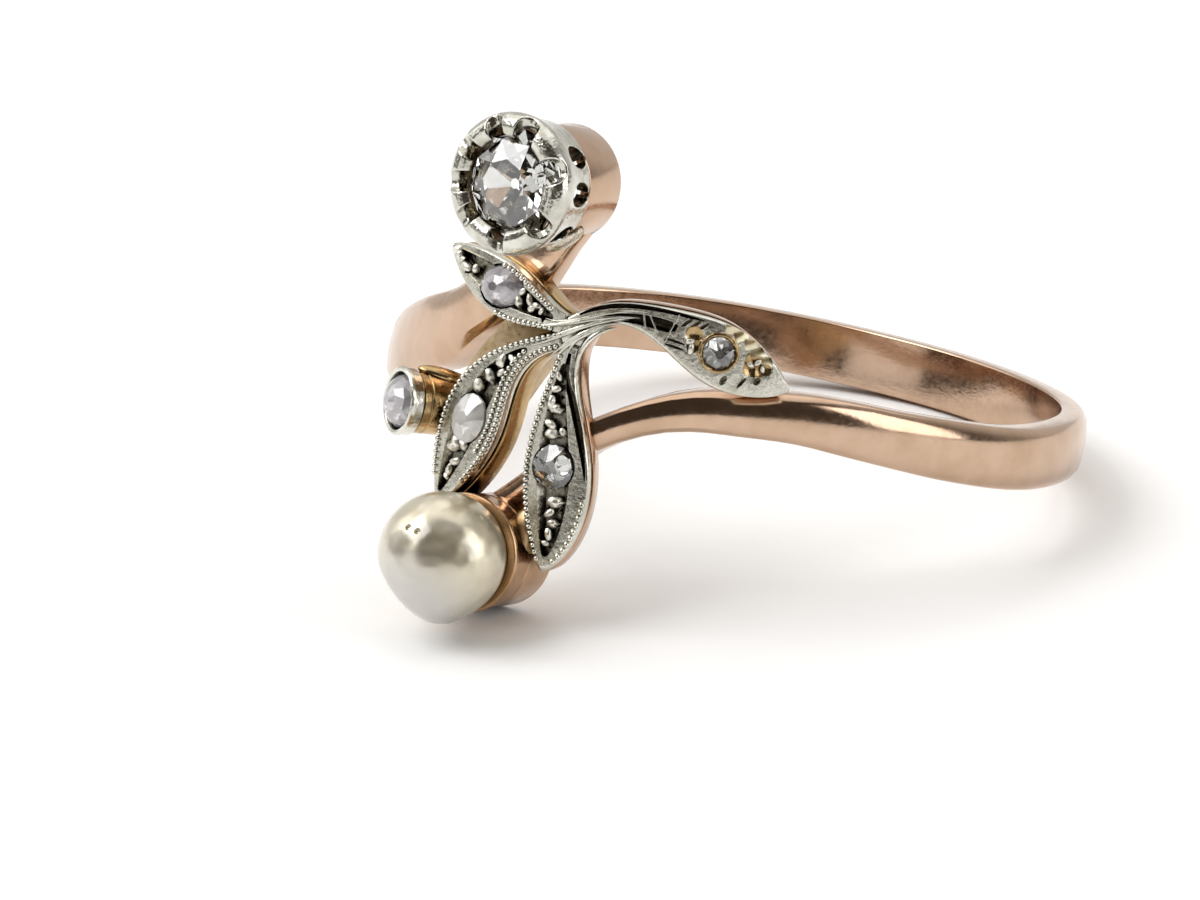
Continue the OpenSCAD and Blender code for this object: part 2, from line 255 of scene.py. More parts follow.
bpy.ops.mesh.primitive_plane_add(size=1, rotation=(0, pi / 2, 0))
band = new_piece("band")
edit_all(band)
scale(1, BAND_THICK, BAND_WIDE)
for side, rounding in ((-1, ROUND_OUTSIDE), (1, ROUND_INSIDE)):
    pick(lambda co: co.y * side > 0)
    bpy.ops.mesh.bevel(affect="VERTICES", offset=rounding, segments=4, profile=0.5)
pick(lambda co: co.y < -BAND_THICK / 2 + HAIR)
bpy.ops.mesh.subdivide(number_cuts=3)
for reach, rise in DOME:
    pick(lambda co: co.y < -BAND_THICK / 2 + HAIR and abs(co.z) < reach)
    move(0, -rise, 0)
bpy.ops.mesh.select_all(action="SELECT")
angle, middle, width, inner, outer = sections[0]
scale(1, (outer - inner) / BAND_THICK, width / BAND_WIDE)
move(BAND_R * radians(angle), BAND_R - (inner + outer) / 2, middle)
for before, now in zip(sections, sections[1:]):
    extrude()
    at = (BAND_R * radians(before[0]), BAND_R - (before[3] + before[4]) / 2, before[1])
    scale(1, (now[4] - now[3]) / (before[4] - before[3]), now[2] / before[2], at)
    move(BAND_R * radians(now[0] - before[0]), (before[3] + before[4] - now[3] - now[4]) / 2,
         now[1] - before[1])
finish_edit()
face_outwards(band)
bend_round(band, BAND_R, 0)

# The tube under the diamond: a short length of rose gold pipe, open right through, soldered on
# the band's upper end with its mouth towards the wearer's eye. The band's end is bored with it.
DIAMOND_X, DIAMOND_Z = -0.4, 5.66
TUBE_R, TUBE_WALL, TUBE_FRONT, TUBE_BACK = 1.5, 0.3, -11.72, -10.1
BORE_LONG, BORE_MIDDLE = 5, -11.5
ALONG_Y = (pi / 2, 0, 0)


def rod(name, radius, length, at, corners, turn=(0, 0, 0), ends="NGON"):
    """A round rod, or a thin tube without ends, along Z unless it is turned."""
    bpy.ops.mesh.primitive_cylinder_add(vertices=corners, radius=radius, depth=length,
                                        end_fill_type=ends, location=at, rotation=turn)
    return new_piece(name)


def ease_edges(piece, width, segments, angle=50):
    tool(piece, "BEVEL", width=width, segments=segments, limit_method="ANGLE",
         angle_limit=radians(angle))


def cut(piece, *cutters, finish=None):
    """Cuts the cutters out of a piece, one after another, and may give the cut its own finish."""
    for cutter in cutters:
        if finish is not None:
            cutter.data.materials.clear()
            cutter.data.materials.append(finish)
        tool(piece, "BOOLEAN", operation="DIFFERENCE", object=cutter, solver="EXACT",
             material_mode="INDEX" if finish is None else "TRANSFER")
        bpy.data.objects.remove(cutter)


diamond_tube = rod("diamond_tube", TUBE_R, TUBE_BACK - TUBE_FRONT,
                   (DIAMOND_X, (TUBE_FRONT + TUBE_BACK) / 2, DIAMOND_Z), 64, ALONG_Y, "NOTHING")
tool(diamond_tube, "SOLIDIFY", thickness=TUBE_WALL, offset=-1)
ease_edges(diamond_tube, 0.05, 3, 60)
cut(band, rod("drill", TUBE_R - TUBE_WALL, BORE_LONG, (DIAMOND_X, BORE_MIDDLE, DIAMOND_Z), 64,
              ALONG_Y))
set_down(band, "rose_gold", rose_gold, "shank")
set_down(diamond_tube, "rose_gold", rose_gold)

# The gold under the leaves: each silver leaf is backed by a gold one of nearly the same outline.
# They are sawn flat, filed at the edges and bowed round the front of the head.
# Columns: stem, first pull, second pull, tip of the flat middle line; half width at the neck and
# at the belly, where the belly lies, how late the leaf swells, thickness of the gold behind
LEAVES = [
    ((0.602, 2.12), (-0.51, 2.35), (-2.16, 2.75), (-3.71, 3.3), 0.28, 0.70, 0.52, 1, 0.60),
    ((0.651, 1.75), (-1.66, 0.95), (-1.73, -0.7), (-2.551, -3.25), 0.24, 0.99, 0.67, 1.2, 0.65),
    ((0.903, 1.75), (0.498, -0.2), (1.508, -2.4), (1.104, -4.25), 0.26, 0.92, 0.60, 1, 0.55),
    ((0.679, 2.05), (2.324, 3.45), (3.5, 2.45), (6.797, 1.42), 0.26, 0.82, 0.78, 2, 0.40),
]
LEAF_STEPS = 44
TIP_FULLNESS, LEAST_HALF = 0.65, 0.05
HEAD_R, HEAD_Y = 7.25, -3.75
GOLD_FRONT, GOLD_LIP = 0.39, 0.04


def stations(leaf):
    """Distance along the leaf and half width there, from its stem to its tip."""
    stem, pull_a, pull_b, tip, neck, belly, full_at, late, backing = leaf
    found, length, last = [], 0, stem
    for i in range(LEAF_STEPS + 1):
        t = i / LEAF_STEPS
        at = [(1 - t) ** 3 * a + 3 * t * (1 - t) ** 2 * b + 3 * t * t * (1 - t) * c + t ** 3 * d
              for a, b, c, d in zip(stem, pull_a, pull_b, tip)]
        length += hypot(at[0] - last[0], at[1] - last[1])
        last = at
        if t < full_at:
            half = neck + (belly - neck) * (0.5 - 0.5 * cos(pi * (t / full_at) ** late))
        else:
            closing = cos(pi / 2 * (t - full_at) / (1 - full_at))
            half = belly * max(0, closing) ** TIP_FULLNESS
        found.append((length, max(LEAST_HALF, half)))
    return found


def half_at(leaf, distance):
    """The leaf's half width at a distance along it."""
    rows = stations(leaf)
    for (a, wide_a), (b, wide_b) in zip(rows, rows[1:]):
        if distance <= b:
            return wide_a + (wide_b - wide_a) * max(0, distance - a) / (b - a)
    return rows[-1][1]


def bar(name, rows, front, back, taper=1):
    """A straight bar through rows of distance, place across and half width, between two heights."""
    bpy.ops.mesh.primitive_plane_add(size=1, rotation=(0, pi / 2, 0))
    piece = new_piece(name)
    edit(piece)
    pick(lambda co: co.z < 0)
    scale(1, taper, 1)
    bpy.ops.mesh.select_all(action="SELECT")
    scale(1, 2 * rows[0][2], front - back)
    move(rows[0][0], rows[0][1], (front + back) / 2)
    for (a, across_a, wide_a), (b, across_b, wide_b) in zip(rows, rows[1:]):
        extrude(x=b - a, y=across_b - across_a)
        scale(1, wide_b / wide_a, 1, (b, across_b, 0))
    finish_edit()
    face_outwards(piece)
    return piece


def straight_leaf(name, leaf, grow, front, back):
    """A straight bar with the leaf's outline."""
    rows = [(distance, 0, half + grow) for distance, half in stations(leaf)]
    return bar(name, rows, front, back)


def stand_up(piece):
    """Stands a piece drawn flat, with its relief up, on the front of the head."""
    settle(piece, turn=(90, 0, 0))
    bend_round(piece, HEAD_R, HEAD_Y)


def sweep_leaf(piece, leaf):
    """Sweeps a straight leaf along its middle line, stands it up and bows it on the head."""
    bpy.ops.curve.primitive_bezier_curve_add(location=(0, 0, 0))
    line = bpy.context.object
    line.data.dimensions = "2D"
    line.data.resolution_u = 64
    line.data.use_deform_bounds = False
    stem, pull_a, pull_b, tip = leaf[:4]
    start, end = line.data.splines[0].bezier_points
    for point in (start, end):
        point.handle_left_type = point.handle_right_type = "FREE"
    start.co, start.handle_right = (*stem, 0), (*pull_a, 0)
    end.co, end.handle_left = (*tip, 0), (*pull_b, 0)
    start.handle_left = (2 * stem[0] - pull_a[0], 2 * stem[1] - pull_a[1], 0)
    end.handle_right = (2 * tip[0] - pull_b[0], 2 * tip[1] - pull_b[1], 0)
    tool(piece, "CURVE", object=line, deform_axis="POS_X")
    bpy.data.objects.remove(line)
    stand_up(piece)


old_gold = worn_metal("old_gold", (0.58, 0.41, 0.21), (0.36, 0.24, 0.10), (0.10, 0.045, 0.01),
                      0.18, 0.0006, 2200, patch=1300, dents=0.00002)
for number, leaf in enumerate(LEAVES, 1):
    backing = straight_leaf(f"leaf_backing_{number}", leaf, GOLD_LIP, -GOLD_FRONT,
                            -GOLD_FRONT - leaf[8])
    ease_edges(backing, 0.05, 2)
    sweep_leaf(backing, leaf)
    set_down(backing, "rose_gold", old_gold if number < 3 else rose_gold)

# The web of gold that ties the second leaf to the band: a flat plate sawn to shape, sunk behind
# the leaves, and a small disc behind the knot of the stems.
WEB = [(0.4, 1.9), (-1.6, 1.9), (-2.6, 0.6), (-3.3, -0.6), (-3.4, -1.6), (-3.2, -2.9), (-1.9, -1.8)]
WEB_MIDDLE = (-2.2, -0.3)
WEB_FRONT, WEB_DEPTH = 0.84, 0.7
KNOT, KNOT_R, KNOT_THICK, KNOT_BEHIND = (0.8, 1.95), 0.5, 0.6, 0.34
bpy.ops.mesh.primitive_circle_add(vertices=len(WEB), radius=1, fill_type="NGON")
web = new_piece("web")
starts = sorted((vert.co.copy() for vert in web.data.vertices), key=lambda co: atan2(co.y, co.x))
corners = sorted(WEB, key=lambda at: atan2(at[1] - WEB_MIDDLE[1], at[0] - WEB_MIDDLE[0]))
edit(web)
for start, (x, z) in zip(starts, corners):
    pick(lambda co: (co - start).length < 1e-6)
    move(HEAD_R * asin(x / (HEAD_R - WEB_FRONT)) - start.x, z - start.y, -WEB_FRONT)
bpy.ops.mesh.select_all(action="SELECT")
bpy.ops.mesh.quads_convert_to_tris()
bpy.ops.mesh.subdivide(number_cuts=5)
extrude(z=-WEB_DEPTH)
finish_edit()
face_outwards(web)
ease_edges(web, 0.06, 2)
stand_up(web)
satin_gold = worn_metal("satin_gold", (0.62, 0.475, 0.30), (0.47, 0.34, 0.18), (0.14, 0.08, 0.02),
                        0.32, 0.0006, 2000, patch=1500, dents=0.00002)
set_down(web, "rose_gold", satin_gold)

knot_backing = rod("knot_backing", KNOT_R, KNOT_THICK,
                   (HEAD_R * asin(KNOT[0] / HEAD_R), KNOT[1], -GOLD_FRONT - KNOT_BEHIND), 32)
ease_edges(knot_backing, 0.05, 2)
stand_up(knot_backing)
set_down(knot_backing, "rose_gold", rose_gold)

# The pearl's cup: a turned drum of rose gold with a thin lip, dished out for the pearl and cut
# back where the leaves lie over it. A peg stands in its middle, glued into the pearl.
# Rows: radius, place along Y
PEARL = (-0.87, -12.6, -4.2)
CUP_ROWS = [
    (0.30, -9.4), (1.40, -9.4), (1.46, -9.43), (1.48, -9.5), (1.48, -10.62), (1.455, -10.65),
    (1.455, -10.69), (1.48, -10.72), (1.48, -11.26), (1.53, -11.31), (1.56, -11.36), (1.56, -11.44),
    (1.53, -11.49), (1.47, -11.50), (1.30, -11.49), (1.24, -11.44), (1.1, -11.31), (0.85, -11.13),
    (0.55, -10.99), (0.30, -10.94),
]
PEG_ROWS = [(0.05, 10.2), (0.3, 10.2), (0.3, 12.22), (0.24, 12.3), (0.05, 12.3)]
ROOM_ROUND, ROOM_BEHIND = 0.03, 0.02  # left between the cup and the leaves


def turned(name, rows, corners=64):
    """A piece turned about Z from its rows of radius and height; its ends are filled or meet."""
    bpy.ops.mesh.primitive_circle_add(vertices=corners, radius=rows[0][0])
    piece = new_piece(name)
    edit_all(piece)
    move(0, 0, rows[0][1])
    for (radius, height), (next_radius, next_height) in zip(rows, rows[1:]):
        extrude(z=next_height - height)
        scale(next_radius / radius, next_radius / radius, 1)
    bpy.ops.mesh.select_all(action="SELECT")
    bpy.ops.mesh.remove_doubles(threshold=0.0005)
    bpy.ops.mesh.fill_holes(sides=0)
    finish_edit()
    face_outwards(piece)
    return piece


def facing(piece, at, turn=0):
    """Points a piece turned about Z out of the head."""
    settle(piece, at, (90, 0, turn))


cup = turned("pearl_cup", [(radius, -y) for radius, y in CUP_ROWS])
facing(cup, (PEARL[0], 0, PEARL[2]))
cup_gold = worn_metal("cup_gold", (0.62, 0.405, 0.25), (0.45, 0.275, 0.145), (0.12, 0.06, 0.02),
                      0.2, 0.0006, 1900, scratch=0.6)
for leaf in LEAVES[1:3]:
    cutter = straight_leaf("cutter", leaf, ROOM_ROUND, 2, -GOLD_FRONT - ROOM_BEHIND)
    sweep_leaf(cutter, leaf)
    cut(cup, cutter)
set_down(cup, "rose_gold", cup_gold)

peg = turned("pearl_peg", PEG_ROWS, 24)
facing(peg, (PEARL[0], 0, PEARL[2]))
set_down(peg, "rose_gold", rose_gold)

# The side stone's tube: rose gold pipe standing out of the web to the left, with a groove turned
# round its middle and a step where the collet sits on it.
SIDE, SIDE_TURN = (-4.0, -10.6, -0.93), -35
SIDE_ROWS = [(0.05, -1.9), (0.76, -1.9), (0.80, -1.86), (0.80, -0.62), (0.77, -0.60),
             (0.77, -0.56), (0.80, -0.54), (0.80, -0.36), (0.77, -0.35), (0.05, -0.35)]
side_tube = turned("side_tube", SIDE_ROWS, 48)
facing(side_tube, SIDE, SIDE_TURN)
set_down(side_tube, "rose_gold", old_gold)

# The silver leaves: four plates of silver, sawn to shape, hollowed inside a raised rim, and set
# with a stone and small raised grains. Their rims are milled into rows of tiny beads.
silver = worn_metal("old_silver", (0.76, 0.75, 0.68), (0.54, 0.53, 0.45), (0.05, 0.04, 0.025),
                    0.17, 0.00035, 2600, dents=0.000028)
frosted = worn_metal("frosted_silver", (0.68, 0.665, 0.59), (0.50, 0.485, 0.41),
                     (0.16, 0.14, 0.10), 0.26, 0.0002, 5200, scratch=0.6, patch=2600,
                     speckle=0.4, dents=0.00003)
hollowed = worn_metal("hollow_silver", (0.64, 0.62, 0.53), (0.26, 0.24, 0.18),
                      (0.03, 0.022, 0.012), 0.26, 0.0005, 3500, patch=3600, dents=0.00003)
tarnished = worn_metal("tarnished_silver", (0.15, 0.125, 0.09), (0.05, 0.04, 0.028),
                       (0.008, 0.006, 0.004), 0.2, 0.0003, 3000, patch=2500, dents=0.00002)
gilt = worn_metal("gilt_silver", (0.95, 0.90, 0.72), (0.86, 0.77, 0.52), (0.30, 0.18, 0.06),
                  0.36, 0.0002, 3000, dents=0.00003)
amber = worn_metal("amber_gold", (0.46, 0.33, 0.17), (0.25, 0.16, 0.07), (0.06, 0.03, 0.01),
                   0.2, 0.0004, 3600, patch=3600, dents=0.00004)
grainy = worn_metal("grain_silver", (0.82, 0.80, 0.72), (0.62, 0.60, 0.52), (0.05, 0.04, 0.025),
                    0.33, 0.0003, 5200, patch=3000, dents=0.00004)
# Stones: place on the head, half length, half width, turn
STONES = [((-1.50, 2.68), 0.72, 0.56, 10), ((-1.83, -0.89), 0.68, 0.56, 70),
          ((0.98, -1.53), 0.58, 0.56, 90), ((4.40, 2.18), 0.42, 0.42, 0)]
SEAT_DEPTH, SEAT_ROOM = 0.18, 0.03
SILVER_THICK = 0.36
# The next tables, down to the cavities, are by the leaf's number. A place there is a distance
# along the flat leaf and one across it.
# Hollows: from, to, share of the leaf's width, shift across, depth
HOLLOWS = {1: (0.35, 4.55, 0.66, -0.1, 0.24), 2: (1.1, 5.95, 0.56, -0.04, 0.24),
           3: (0.6, 5.65, 0.58, -0.06, 0.24)}
HOLLOW_STEPS = 24
# Bright cuts, polished and gone black: rows of place and half width
CUTS = {
    3: [[(0.3, 0.05, 0.05), (0.82, 0.08, 0.09), (1.13, 0.19, 0.10), (1.37, 0.32, 0.12),
         (1.75, 0.45, 0.12), (2.28, 0.60, 0.12), (2.79, 0.70, 0.09), (3.32, 0.78, 0.045),
         (3.6, 0.80, 0.02)]],
    4: [[(0.5, 0.17, 0.03), (1.05, 0.19, 0.06), (1.53, 0.22, 0.07), (1.99, 0.27, 0.07),
         (2.45, 0.35, 0.06), (3.16, 0.50, 0.05), (3.6, 0.60, 0.02)],
        [(0.8, -0.06, 0.03), (1.32, -0.08, 0.08), (1.69, -0.08, 0.12), (2.21, -0.03, 0.16),
         (2.47, 0.0, 0.17), (2.85, 0.05, 0.17), (3.05, 0.10, 0.10)]],
}
CUT_DEPTH, CUT_TAPER = 0.14, 0.5
# Milled edges: side of the leaf, from, to, distance in from its outline
MILLED = {
    1: [(1, 2.01, 0.32, 0.09), (-1, 2.3, 0.5, 0.1)],
    2: [(-1, 0.05, 5.62, 0.1), (1, 0.24, 5.3, 0.1), (1, 1.2, 4.4, 0.3)],
    3: [(-1, 0.48, 5.77, 0.1), (1, 4.2, 5.7, 0.12)],
}
MILL_PITCH, MILL_R = 0.158, 0.084
# Grains: place and radius
GRAINS = {
    1: [(4.22, 0.0, .13), (4.05, 0.05, .1), (3.62, .16, .11), (1.5, -.25, .09), (1.2, -.16, .1),
        (.95, -.12, .09), (.76, -.05, .07)],
    2: [(1.93, -.12, .12), (1.63, .03, .1), (2.15, .1, .1), (4.55, -.12, .12), (5.0, .12, .11),
        (5.3, .02, .1), (5.5, 0, .07)],
    3: [(.95, -.12, .09), (1.3, -.14, .1), (1.65, -.22, .12), (2.2, -.2, .11), (4.5, -.1, .1),
        (5.05, -.05, .1), (5.3, -.1, .07)],
    4: [(3.5, -.05, .08), (3.62, -.2, .09), (5.2, .16, .07), (5.35, .3, .07), (5.55, .2, .06)],
}
GRAIN_SUNK, BEAK_SUNK = 0.06, 0.09
# Beaks, larger grains drawn out to one side: place, radius and turn
BEAKS = {
    1: [(3.94, .12, .14, 30), (3.3, .05, .15, 80), (1.5, .05, .19, 120), (1.08, .04, .15, 60)],
    2: [(2.95, -.26, .21, 20), (2.5, -.1, .21, 60), (2.06, -.16, .15, 40), (4.72, -.2, .19, 100),
        (4.5, .2, .19, 60)],
    3: [(1.8, -.06, .19, 90), (2.45, -.14, .21, 80), (2.4, .16, .14, 30), (4.2, .05, .22, 90),
        (4.75, .02, .16, 90)],
}
# Cavities between the grains, drilled right down and filed to three corners: place and radius
CAVITIES = {
    1: [(1.31, -.02, .15), (.62, .08, .13), (3.7, -.12, .14), (4.2, -.02, .1), (3.5, .22, .12)],
    2: [(1.75, .0, .13), (2.1, .1, .16), (2.5, -.2, .17), (2.6, .2, .12), (4.75, .15, .14),
        (4.8, -.12, .12), (5.2, 0, .12)],
    3: [(1.1, -.08, .1), (1.5, .0, .12), (1.9, -.18, .15), (2.25, -.28, .12), (2.3, .12, .12),
        (4.4, -.2, .12), (4.4, .18, .14), (4.8, .08, .12), (5.1, -.08, .1), (5.4, 0, .08)],
}
CAVITY_DEEP, CAVITY_MIDDLE = 0.6, -0.04
# The fourth leaf has more of its own. Strokes of the graver: place, length, width, turn
ENGRAVED = [
    (3.22, 0.36, 0.36, 0.05, 62), (3.42, 0.40, 0.36, 0.05, 62), (3.62, 0.44, 0.34, 0.05, 62),
    (3.15, -0.22, 0.5, 0.04, 8), (3.2, -0.36, 0.5, 0.04, 8), (4.75, -0.52, 0.24, 0.08, 82),
    (5.2, -0.36, 0.3, 0.05, 74), (5.55, -0.14, 0.2, 0.09, 70),
]
STROKE_DEPTH = 0.07
# Ribs left standing across its channel: place, length, turn
RIBS = [(2.2, -0.01, 0.42, 22), (2.45, -0.02, 0.46, 42), (2.93, 0.05, 0.8, -3)]
RIB_WIDE, RIB_FOOT, RIB_TALL, RIB_TAPER = 0.11, -0.25, 0.26, 0.35
# Facets filed along its upper edge: place, lean towards the stem
FACETS = [(4.35, 0.66, -0.2), (4.68, 0.62, -0.5), (5.0, 0.54, -0.3), (5.32, 0.42, -0.6),
          (5.6, 0.30, -0.35)]
FACET_BLOCK, FACET_OFF = 0.36, 0.2  # the block that each takes off, and how far out its middle is
# Round scoops beside its stone, where the gold shows through: place, radius
SCOOPS = [(5.25, 0.1, 0.42), (5.5, 0.2, 0.42), (5.2, 0.32, 0.36), (3.52, 0.16, 0.36),
          (3.66, -0.1, 0.3)]
SCOOP_DEPTH = 0.11
# The gold wire inside the first leaf's rim: rows of place and half width
GOLD_WIRE = [(2.85, -0.44, 0.015), (3.1, -0.41, 0.04), (3.6, -0.30, 0.045), (4.0, -0.18, 0.03),
             (4.2, -0.10, 0.015)]
WIRE_TOP, WIRE_FOOT, WIRE_TAPER = -0.02, -0.22, 0.7


def hollow_rows(leaf, start, stop, share, shift):
    """Rows of a hollow that keeps a share of the leaf's width and comes to a point at both ends."""
    rows = []
    for k in range(HOLLOW_STEPS + 1):
        distance = start + (stop - start) * (0.5 - 0.5 * cos(pi * k / HOLLOW_STEPS))
        fullness = max(0.03, sin(pi * k / HOLLOW_STEPS)) ** 0.5
        half = half_at(leaf, distance)
        rows.append((distance, shift * half, half * share * fullness))
    return rows


def on_head(piece, place, depth=0, turn=0):
    """Stands a piece drawn about Z on the head's front, sunk by depth."""
    lean = asin(place[0] / HEAD_R)
    radius = HEAD_R - depth
    settle(piece, turn=(0, 0, turn))
    facing(piece, (radius * sin(lean), HEAD_Y - radius * cos(lean), place[1]), lean * 180 / pi)


def join(first, *others):
    select(first, *others)
    bpy.ops.object.join()


def ball(name, radius, at=(0, 0, 0), segments=12, rings=8):
    bpy.ops.mesh.primitive_uv_sphere_add(segments=segments, ring_count=rings, radius=radius,
                                         location=at)
    return new_piece(name)


def roughen(offset, seed, smoothing):
    """In edit mode, makes what is selected uneven, and smooths it again a little."""
    bpy.ops.transform.vertex_random(offset=offset, seed=seed)
    bpy.ops.mesh.vertices_smooth(factor=0.5, repeat=smoothing)


def bead_row(places):
    """One milled bead, copied from place to place."""
    row = ball("milled", MILL_R, places[0], 10, 6)
    row.data.materials.append(silver)
    edit_all(row)
    for here, there in zip(places, places[1:]):
        step = [b - a for a, b in zip(here, there)]
        bpy.ops.mesh.duplicate_move(TRANSFORM_OT_translate={"value": step})
    finish_edit()
    return row


def grain(x, y, radius, turn):
    """One raised grain, a little longer than wide and never quite round."""
    made = ball("grain", radius * 1.3)
    made.data.materials.append(grainy)
    edit_all(made)
    roughen(radius * 0.3, int(x * 100) % 50, 1)
    scale(1.45, 0.85, 0.9)
    finish_edit()
    settle(made, (x, y, -GRAIN_SUNK), (0, 0, turn))
    return made


def beak(x, y, radius, turn):
    """One larger grain, drawn out to a beak on one side where the graver raised it."""
    made = ball("beak", radius * 0.95, segments=16)
    made.data.materials.append(grainy)
    edit_all(made)
    roughen(radius * 0.22, int(x * 100) % 50, 1)
    scale(1.15, 0.8, 0.75)
    pick(lambda co: co.x > radius * 0.45)
    scale(1.5, 0.35, 0.6, (radius * 0.45, 0, 0.02))
    finish_edit()
    settle(made, (x, y, -BEAK_SUNK), (0, 18, turn))
    return made


def rib(x, y, length, turn):
    """A thin wall across a channel, narrower at its top."""
    bpy.ops.mesh.primitive_plane_add(size=1)
    made = new_piece("rib")
    made.data.materials.append(silver)
    edit_all(made)
    scale(RIB_WIDE, length, 1)
    move(0, 0, RIB_FOOT)
    extrude(z=RIB_TALL)
    scale(RIB_TAPER, 1, 1)
    finish_edit()
    face_outwards(made)
    settle(made, (x, y, 0), (0, 0, turn))
    return made


def dress_fourth_leaf(plate):
    """Files, engraves and scoops the leaf that has no hollow."""
    for x, y, lean in FACETS:
        out = Vector((lean, 0.5, 0.75)).normalized()
        bpy.ops.mesh.primitive_cube_add(size=FACET_BLOCK,
                                        location=Vector((x, y, -0.05)) + out * FACET_OFF,
                                        rotation=out.to_track_quat("Z", "Y").to_euler())
        cut(plate, new_piece("facet"), finish=gilt)
    for x, y, length, width, turn in ENGRAVED:
        stroke = ball("stroke", 1, rings=6)
        settle(stroke, size=(length * 0.6, width, STROKE_DEPTH))
        settle(stroke, (x, y, 0.01), (0, 0, turn))
        cut(plate, stroke, finish=tarnished)
    for x, y, radius in SCOOPS:
        bpy.ops.mesh.primitive_ico_sphere_add(subdivisions=3, radius=radius, rotation=(x, 3 * x, 0),
                                              location=(x, y, radius - SCOOP_DEPTH))
        cut(plate, new_piece("scoop"), finish=amber)


for number, leaf in enumerate(LEAVES, 1):
    plate = straight_leaf(f"silver_leaf_{number}", leaf, 0, 0, -SILVER_THICK)
    ease_edges(plate, 0.11, 4)
    plate.data.materials.append(silver)
    plate.data.materials.append(frosted)
    if number in HOLLOWS:
        *span, depth = HOLLOWS[number]
        cutter = bar("cutter", hollow_rows(leaf, *span), 0.1, -depth, CUT_TAPER)
        cut(plate, cutter, finish=hollowed)
    for rows in CUTS.get(number, []):
        cut(plate, bar("cutter", rows, 0.02, -CUT_DEPTH, CUT_TAPER), finish=tarnished)
    if number == 4:
        dress_fourth_leaf(plate)
    for x, y, radius in CAVITIES.get(number, []):
        bpy.ops.mesh.primitive_cone_add(vertices=3, radius1=radius * 0.4, radius2=radius * 1.5,
                                        depth=CAVITY_DEEP, location=(x, y, CAVITY_MIDDLE),
                                        rotation=(0, 0, x * 7))
        cut(plate, new_piece("cavity"), finish=tarnished)
    # What is left of the front is frosted.
    edit(plate)
    pick(lambda co, normal: normal.z > 0.5 and co.z > -0.02, "FACE")
    plate.active_material_index = 1
    bpy.ops.object.material_slot_assign()
    finish_edit()
    # The trim is set out on the flat leaf, and swept along with it.
    trim = []
    for side, start, stop, inset in MILLED.get(number, []):
        count = round(abs(stop - start) / MILL_PITCH)
        steps = [start + (stop - start) * k / count for k in range(count + 1)]
        trim.append(bead_row([(x, side * (half_at(leaf, x) - inset), -0.002) for x in steps]))
    for k, (x, y, radius) in enumerate(GRAINS[number]):
        trim.append(grain(x, y, radius, 40 + 67 * k))
    for place in BEAKS.get(number, []):
        trim.append(beak(*place))
    if number == 4:
        for place in RIBS:
            trim.append(rib(*place))
    if number == 1:
        wire = bar("gold_wire", GOLD_WIRE, WIRE_TOP, WIRE_FOOT, WIRE_TAPER)
        wire.data.materials.append(gilt)
        trim.append(wire)
    join(*trim)
    sweep_leaf(trim[0], leaf)
    sweep_leaf(plate, leaf)
    # The stone's seat is sunk in the bowed leaf.
    place, half_long, half_wide, turn = STONES[number - 1]
    seat = rod("seat", 1, 1, (0, 0, 0.5), 48)
    settle(seat, size=(half_long + SEAT_ROOM, half_wide + SEAT_ROOM, 1))
    on_head(seat, place, SEAT_DEPTH, turn)
    cut(plate, seat, finish=tarnished)
    join(plate, trim[0])
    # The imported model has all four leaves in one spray, which the first one replaces.
    set_down(plate, "silver", None, *(["leaf_spray"] if number == 1 else []))

# The stems: where the four leaves meet, the silver is engraved into fine ridges that sweep
# from one leaf into the next round the arch of the right-hand leaf.
# Columns: start, first pull, second pull, end, radius
STEMS = [
    ((-0.45, 1.98), (0.32, 1.85), (1.35, 2.65), (2.57, 2.72), 0.06),
    ((-0.1, 1.55), (0.81, 2.0), (1.55, 2.53), (2.45, 2.7), 0.06),
    ((0.32, 1.2), (0.79, 1.75), (1.35, 2.31), (2.08, 2.5), 0.055),
    ((0.47, 1.02), (0.6, 1.64), (1.21, 2.0), (1.72, 2.29), 0.05),
    ((1.2, 0.93), (1.0, 1.73), (1.61, 2.28), (2.05, 2.36), 0.07),
    ((0.05, 2.2), (0.8, 2.05), (1.7, 2.95), (2.9, 2.9), 0.05),
    ((0.85, 1.3), (0.8, 1.75), (1.3, 2.2), (2.0, 2.42), 0.045),
    ((-0.42, 1.36), (0.4, 1.55), (1.2, 2.45), (2.3, 2.62), 0.045),
]
STEM_SWELL = (0.1, 0.85, 1.15, 0.85, 0.1)  # share of the radius from end to end
STEM_RISE = 0.02
knot = ball("stem_knot", KNOT_R, (HEAD_R * asin(KNOT[0] / HEAD_R), KNOT[1], -0.15), 32, 16)
edit_all(knot)
scale(1, 1, 0.3, (0, 0, -0.15))
finish_edit()
ridges = []
for *line_points, radius in STEMS:
    start, pull_a, pull_b, end = [(*point, STEM_RISE) for point in line_points]
    bpy.ops.curve.primitive_bezier_curve_add(location=(0, 0, 0))
    line = bpy.context.object
    line.data.resolution_u = 24
    line.data.bevel_depth = radius
    line.data.bevel_resolution = 3
    line.data.use_fill_caps = True
    first, last = line.data.splines[0].bezier_points
    for point in (first, last):
        point.handle_left_type = point.handle_right_type = "FREE"
    first.co, first.handle_right, first.handle_left = start, pull_a, start
    last.co, last.handle_left, last.handle_right = end, pull_b, end
    first.radius = last.radius = STEM_SWELL[0]
    select(line)
    bpy.ops.object.mode_set(mode="EDIT")
    bpy.ops.curve.select_all(action="SELECT")
    bpy.ops.curve.subdivide(number_cuts=3)
    finish_edit()
    for point, thick in zip(line.data.splines[0].bezier_points, STEM_SWELL):
        point.radius = thick
    bpy.ops.object.convert(target="MESH")
    ridges.append(new_piece("ridge"))
join(knot, *ridges)
stand_up(knot)
set_down(knot, "silver", silver)

